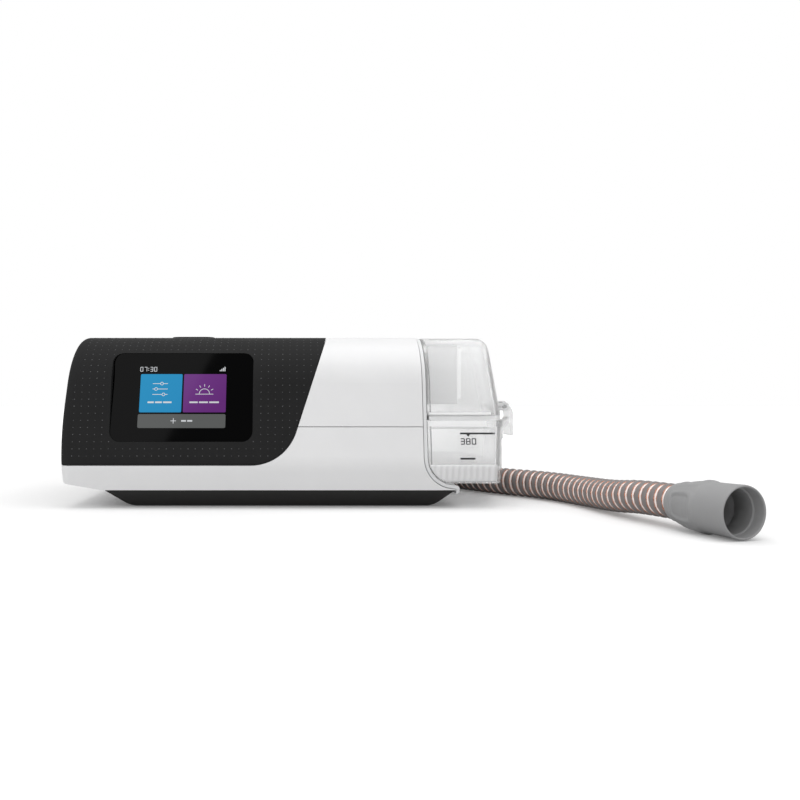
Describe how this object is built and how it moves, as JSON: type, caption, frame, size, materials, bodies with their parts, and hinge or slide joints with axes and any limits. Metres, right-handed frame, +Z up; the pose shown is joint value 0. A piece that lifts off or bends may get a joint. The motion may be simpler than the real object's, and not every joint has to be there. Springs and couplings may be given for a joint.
{
  "type": "positive airway pressure machine",
  "caption": "Bedside airway pressure machine with a front screen, a start button, a sliding clear humidifier tub and a corrugated heated hose.",
  "frame": {"origin": "on the surface that the machine stands on, under the middle of the machine's outer box without the hose", "axes": "+X towards the humidifier tub, +Y from the screen to the rear panel, +Z up"},
  "size_m": [0.3597, 0.4606, 0.0956],
  "materials": {
    "black_cover": "satin black with a fine dot pattern",
    "black_button": "satin black",
    "screen_glass": "black gloss",
    "display": "black",
    "black_rubber": "matt",
    "white_shell": "satin white",
    "bay_grey": "pale grey",
    "rear_grey": "fine texture",
    "inlet_black": "black",
    "connector_grey": "grey",
    "tray_dark": "dark, fine texture",
    "inner_plastic": "grey",
    "clear_tub": "clear",
    "soft_grey_seal": "silicone",
    "plate_metal": "anodised",
    "steel": "plain",
    "copper_winding": "enamelled copper",
    "circuit_board": "solder resist",
    "ribbon": "amber film",
    "foam": "open foam",
    "duct_grey": "grey",
    "cuff_grey": "soft grey",
    "hose_film": "smoky film over a copper helix"
  },
  "bodies": {
    "root": {"air_filter": "foam", "base_screws": "steel", "base_tray": "tray_dark", "blower_bearings": "steel", "blower_duct": "soft_grey_seal", "blower_lower": "inner_plastic", "blower_mounts": "soft_grey_seal", "blower_upper": "inner_plastic", "button_dome": "soft_grey_seal", "button_switch": "inlet_black", "buzzer": "inlet_black", "card_reader": "steel", "chassis": "inner_plastic", "cover_pins": "steel", "display_gasket": "black_rubber", "display_module": "display", "display_window": "screen_glass", "front_cover": "black_cover", "heater_insulation": "foam", "heater_plate": "plate_metal", "hose_coil": "hose_film", "hose_lead": "hose_film", "hose_run": "hose_film", "inlet_muffler": "foam", "lower_housing": "white_shell", "machine_cuff": "cuff_grey", "main_board": "circuit_board", "mask_cuff": "cuff_grey", "memory_card": "inlet_black", "motor_cap": "plate_metal", "motor_stator": "copper_winding", "outlet_connector": "connector_grey", "port_seals": "soft_grey_seal", "power_inlet": "inlet_black", "pressure_sensor": "inlet_black", "rear_panel": "rear_grey", "ribbon_cable": "ribbon", "rubber_feet": "black_rubber", "tub_bay": "bay_grey", "upper_housing": "white_shell", "wireless_module": "steel"},
    "button": {"start_stop_button": "black_button"},
    "rotor": {"impeller": "inner_plastic", "rotor_shaft": "steel"},
    "tub": {"tub_base": "clear_tub", "tub_lid": "clear_tub", "tub_seal": "soft_grey_seal", "heat_plate": "plate_metal", "lid_duct": "duct_grey", "lid_hinge_pin": "steel", "latch_pin": "steel"},
    "latch": {"tub_latch": "clear_tub"},
    "filter_door": {"filter_cover": "rear_grey"},
    "card_flap": {"card_door": "rear_grey"}
  },
  "joints": [
    {"name": "button_press", "type": "slide", "parent": "root", "child": "button", "axis": [0, 0, -1], "range_m": [0, 0.0008], "stiffness_N_per_m": 600, "deforming": ["button_dome"]},
    {"name": "tub_slide", "type": "slide", "parent": "root", "child": "tub", "axis": [1, 0, 0], "range_m": [0, 0.04]},
    {"name": "latch_swing", "type": "hinge", "parent": "tub", "child": "latch", "pos_m": [0.1243, 0, 0.0545], "axis": [0, -1, 0], "range_deg": [0, 35]},
    {"name": "filter_cover_swing", "type": "hinge", "parent": "root", "child": "filter_door", "pos_m": [-0.1101, 0.0679, 0.05], "axis": [0, 0, 1], "range_deg": [0, 100]},
    {"name": "card_door_swing", "type": "hinge", "parent": "root", "child": "card_flap", "pos_m": [-0.0511, 0.0679, 0.0645], "axis": [0, 0, 1], "range_deg": [0, 100]},
    {"name": "rotor_spin", "type": "hinge", "parent": "root", "child": "rotor", "pos_m": [-0.026, 0.002, 0.046], "axis": [0, 0, 1], "continuous": true}
  ]
}
